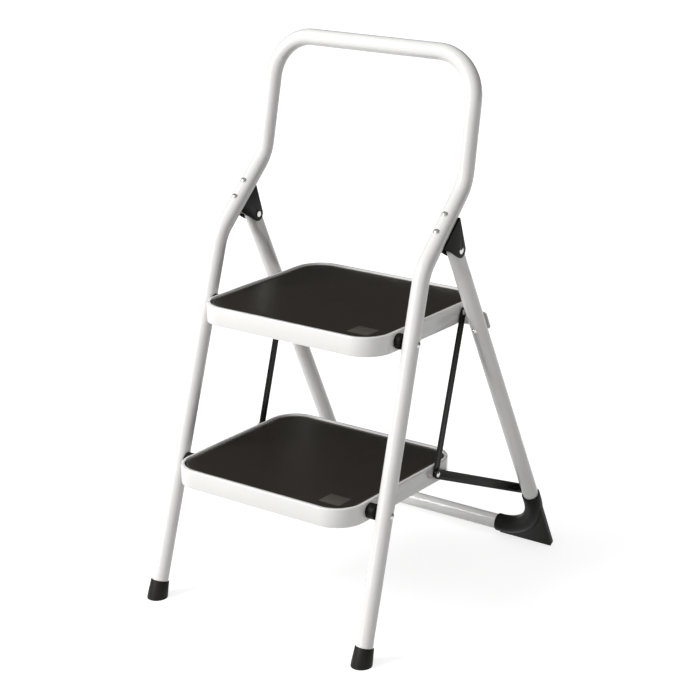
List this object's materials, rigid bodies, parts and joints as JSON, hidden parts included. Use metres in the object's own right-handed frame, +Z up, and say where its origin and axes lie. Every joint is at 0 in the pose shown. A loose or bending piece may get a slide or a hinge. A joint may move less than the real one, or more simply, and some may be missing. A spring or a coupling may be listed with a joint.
{
  "type": "folding step stool",
  "caption": "Folding tubular steel step stool with a rounded high handrail, flat treads with sunk rubber mats, a hinged rear frame and side linkages, standing open.",
  "frame": {"origin": "on the floor, at the middle of the stool's footprint when it stands open", "axes": "+X to the right of a person facing the stool, +Y towards the rear legs, +Z up towards the handrail"},
  "size_m": [0.4148, 0.5412, 0.8385],
  "materials": {
    "white_paint": "satin white powder coat",
    "black_paint": "satin black powder coat",
    "dark_rubber": "matte",
    "mat_rubber": "matte with fine grain",
    "black_plastic": "matte black",
    "bright_steel": "zinc plated"
  },
  "bodies": {
    "brace_link_left": {"brace_link_left": "black_paint"},
    "brace_link_right": {"brace_link_right": "black_paint"},
    "rear_frame": {"brace_stud_left": "bright_steel", "brace_stud_right": "bright_steel", "rear_corner_foot_left": "black_plastic", "rear_corner_foot_right": "black_plastic", "rear_frame_tube": "white_paint", "rest_bar": "white_paint", "rest_bar_rivets": "bright_steel"},
    "front_frame": {"bracket_rivets_left": "bright_steel", "bracket_rivets_right": "bright_steel", "front_foot_left": "dark_rubber", "front_foot_right": "dark_rubber", "front_frame_tube": "white_paint", "hinge_bracket_left": "black_plastic", "hinge_bracket_right": "black_plastic", "hinge_pin_left": "bright_steel", "hinge_pin_right": "bright_steel", "lower_pivot_rivet_left": "bright_steel", "lower_pivot_rivet_right": "bright_steel", "lower_pivot_spacer_left": "black_plastic", "lower_pivot_spacer_right": "black_plastic", "upper_pivot_rivet_left": "bright_steel", "upper_pivot_rivet_right": "bright_steel", "upper_pivot_spacer_left": "black_plastic", "upper_pivot_spacer_right": "black_plastic"},
    "lower_step": {"lower_link_rivet_left": "bright_steel", "lower_link_rivet_right": "bright_steel", "lower_link_washer_left": "bright_steel", "lower_link_washer_right": "bright_steel", "lower_step_mat": "mat_rubber", "lower_step_pan": "white_paint"},
    "side_link_left": {"side_link_left": "black_paint"},
    "side_link_right": {"side_link_right": "black_paint"},
    "upper_step": {"upper_link_rivet_left": "bright_steel", "upper_link_rivet_right": "bright_steel", "upper_link_washer_left": "bright_steel", "upper_link_washer_right": "bright_steel", "upper_step_mat": "mat_rubber", "upper_step_pan": "white_paint"}
  },
  "joints": [
    {"name": "upper_step_fold", "type": "hinge", "parent": "front_frame", "child": "upper_step", "pos_m": [0, -0.12488, 0.445], "axis": [1, 0, 0], "range_deg": [0, 65]},
    {"name": "lower_step_fold", "type": "hinge", "parent": "front_frame", "child": "lower_step", "pos_m": [0, -0.19326, 0.21], "axis": [1, 0, 0], "range_deg": [0, 65]},
    {"name": "rear_frame_fold", "type": "hinge", "parent": "front_frame", "child": "rear_frame", "pos_m": [0, -0.01553, 0.55765], "axis": [1, 0, 0], "range_deg": [-43.05, 0]},
    {"name": "side_link_left_swing", "type": "hinge", "parent": "lower_step", "child": "side_link_left", "pos_m": [0, -0.02626, 0.212], "axis": [1, 0, 0], "range_deg": [-65, 0]},
    {"name": "brace_link_left_swing", "type": "hinge", "parent": "lower_step", "child": "brace_link_left", "pos_m": [0, -0.02626, 0.212], "axis": [1, 0, 0], "range_deg": [-137.8, 0]},
    {"name": "side_link_right_swing", "type": "hinge", "parent": "lower_step", "child": "side_link_right", "pos_m": [0, -0.02626, 0.212], "axis": [1, 0, 0], "range_deg": [-65, 0]},
    {"name": "brace_link_right_swing", "type": "hinge", "parent": "lower_step", "child": "brace_link_right", "pos_m": [0, -0.02626, 0.212], "axis": [1, 0, 0], "range_deg": [-137.8, 0]}
  ],
  "couplings": [
    {"joint": "lower_step_fold", "follows": "upper_step_fold", "ratio": 1},
    {"joint": "rear_frame_fold", "follows": "upper_step_fold", "ratio": -0.66154},
    {"joint": "side_link_left_swing", "follows": "upper_step_fold", "ratio": -1},
    {"joint": "brace_link_left_swing", "follows": "upper_step_fold", "ratio": -2.12},
    {"joint": "side_link_right_swing", "follows": "upper_step_fold", "ratio": -1},
    {"joint": "brace_link_right_swing", "follows": "upper_step_fold", "ratio": -2.12}
  ]
}
